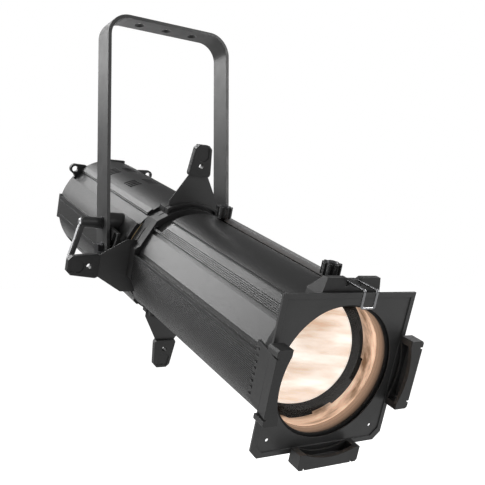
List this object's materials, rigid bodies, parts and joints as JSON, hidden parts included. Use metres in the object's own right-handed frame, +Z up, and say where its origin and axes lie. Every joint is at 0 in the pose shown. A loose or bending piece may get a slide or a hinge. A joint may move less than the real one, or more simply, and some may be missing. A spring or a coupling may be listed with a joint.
{
  "type": "ellipsoidal spotlight",
  "caption": "Hanging profile spotlight: ribbed zoom lens tube, finned lamp housing, framing shutters, yoke with lock lever, gel frame in corner clips.",
  "frame": {"origin": "middle of the yoke's centre hanging hole, half way through the bar", "axes": "+Z up along the hanging hole, +X to the right along the tilt axis, beam leaves towards -Y and 20 degrees down"},
  "size_m": [0.299, 0.6333, 0.5202],
  "materials": {
    "painted_black": "satin black powder coat",
    "extruded_black": "satin black anodised extrusion",
    "cast_black": "fine-textured black paint on a casting",
    "sheet_black": "smooth black paint on sheet steel",
    "moulded_black": "matt black moulded plastic",
    "bright_steel": "zinc-plated steel",
    "black_steel": "black-oxide steel",
    "plain_aluminium": "bare machined aluminium",
    "lens_glass": "clear polished glass",
    "reflector_mirror": "polished reflector",
    "friction_rubber": "dark friction lining",
    "emitter": "phosphor-coated emitter on a board",
    "circuit_board": "lacquered circuit board",
    "window": "dark display window"
  },
  "bodies": {
    "yoke": {"yoke_bracket": "painted_black", "guide_bolts": "black_steel", "bolt_washers": "black_steel"},
    "lock_lever": {"lock_lever": "moulded_black"},
    "fixture": {"pivot_studs": "bright_steel", "pivot_nut": "bright_steel", "tilt_bracket_left": "cast_black", "tilt_bracket_right": "cast_black", "friction_discs": "friction_rubber", "gate_front_ring": "cast_black", "gate_rear_ring": "cast_black", "gate_aperture": "bright_steel", "lamp_housing": "extruded_black", "rear_cover": "cast_black", "control_panel": "sheet_black", "display_window": "window", "data_socket_in": "moulded_black", "data_socket_out": "moulded_black", "power_inlet": "moulded_black", "fuse_cap": "moulded_black", "cover_screws": "bright_steel", "reflector": "reflector_mirror", "led_module": "emitter", "heat_sink": "plain_aluminium", "fan_frame": "moulded_black", "driver_board": "circuit_board", "tube_lower": "extruded_black", "tube_upper": "extruded_black", "slot_rail": "extruded_black", "front_bezel": "cast_black", "front_lens": "lens_glass", "lens_ring": "cast_black", "gel_clip_left": "cast_black", "gel_clip_right": "cast_black", "gel_clip_bottom": "cast_black", "top_cover": "cast_black"},
    "fan": {"fan_rotor": "moulded_black"},
    "zoom_carriage": {"zoom_carriage": "cast_black", "zoom_lens": "lens_glass"},
    "focus_carriage": {"focus_carriage": "cast_black", "focus_lens": "lens_glass"},
    "zoom_knob": {"zoom_knob": "moulded_black"},
    "focus_knob": {"focus_knob": "moulded_black"},
    "latch": {"latch_wire": "painted_black"},
    "gel_frame": {"gel_frame": "sheet_black"},
    "shutter_top": {"shutter_blade_top": "sheet_black", "shutter_handle_top": "moulded_black"},
    "shutter_bottom": {"shutter_blade_bottom": "sheet_black", "shutter_handle_bottom": "moulded_black"},
    "shutter_left": {"shutter_blade_left": "sheet_black", "shutter_handle_left": "moulded_black"},
    "shutter_right": {"shutter_blade_right": "sheet_black", "shutter_handle_right": "moulded_black"},
    "button_menu": {"button_menu": "moulded_black"},
    "button_up": {"button_up": "moulded_black"},
    "button_down": {"button_down": "moulded_black"},
    "button_enter": {"button_enter": "moulded_black"}
  },
  "joints": [
    {"name": "tilt", "type": "hinge", "parent": "yoke", "child": "fixture", "pos_m": [0, 0, -0.27], "axis": [1, 0, 0], "range_deg": [-35, 55]},
    {"name": "lock_lever_turn", "type": "hinge", "parent": "yoke", "child": "lock_lever", "pos_m": [-0.105, 0, -0.27], "axis": [-1, 0, 0], "range_deg": [-60, 60]},
    {"name": "shutter_top_slide", "type": "slide", "parent": "fixture", "child": "shutter_top", "axis": [0, -0.342, 0.9397], "range_m": [-0.028, 0]},
    {"name": "shutter_bottom_slide", "type": "slide", "parent": "fixture", "child": "shutter_bottom", "axis": [0, 0.342, -0.9397], "range_m": [-0.028, 0]},
    {"name": "shutter_left_slide", "type": "slide", "parent": "fixture", "child": "shutter_left", "axis": [-1, 0, 0], "range_m": [-0.028, 0]},
    {"name": "shutter_right_slide", "type": "slide", "parent": "fixture", "child": "shutter_right", "axis": [1, 0, 0], "range_m": [-0.028, 0]},
    {"name": "zoom_slide", "type": "slide", "parent": "fixture", "child": "zoom_carriage", "axis": [0, -0.9397, -0.342], "range_m": [0, 0.09]},
    {"name": "focus_slide", "type": "slide", "parent": "fixture", "child": "focus_carriage", "axis": [0, 0.9397, 0.342], "range_m": [0, 0.08]},
    {"name": "zoom_knob_turn", "type": "hinge", "parent": "zoom_carriage", "child": "zoom_knob", "pos_m": [0.016, -0.12415, -0.26305], "axis": [0, -0.342, 0.9397], "range_deg": [0, 180]},
    {"name": "focus_knob_turn", "type": "hinge", "parent": "focus_carriage", "child": "focus_knob", "pos_m": [0.016, -0.32337, -0.33556], "axis": [0, -0.342, 0.9397], "range_deg": [0, 180]},
    {"name": "latch_swing", "type": "hinge", "parent": "fixture", "child": "latch", "pos_m": [0, -0.37108, -0.34335], "axis": [1, 0, 0], "range_deg": [-105, 0]},
    {"name": "gel_frame_slide", "type": "slide", "parent": "fixture", "child": "gel_frame", "axis": [0, -0.342, 0.9397], "range_m": [0, 0.007]},
    {"name": "fan_spin", "type": "hinge", "parent": "fixture", "child": "fan", "pos_m": [0, 0.11558, -0.26093], "axis": [0, 0.9397, 0.342], "continuous": true},
    {"name": "button_menu_press", "type": "slide", "parent": "fixture", "child": "button_menu", "axis": [0, -0.9397, -0.342], "range_m": [0, 0.0015], "stiffness_N_per_m": 600},
    {"name": "button_up_press", "type": "slide", "parent": "fixture", "child": "button_up", "axis": [0, -0.9397, -0.342], "range_m": [0, 0.0015], "stiffness_N_per_m": 600},
    {"name": "button_down_press", "type": "slide", "parent": "fixture", "child": "button_down", "axis": [0, -0.9397, -0.342], "range_m": [0, 0.0015], "stiffness_N_per_m": 600},
    {"name": "button_enter_press", "type": "slide", "parent": "fixture", "child": "button_enter", "axis": [0, -0.9397, -0.342], "range_m": [0, 0.0015], "stiffness_N_per_m": 600}
  ]
}
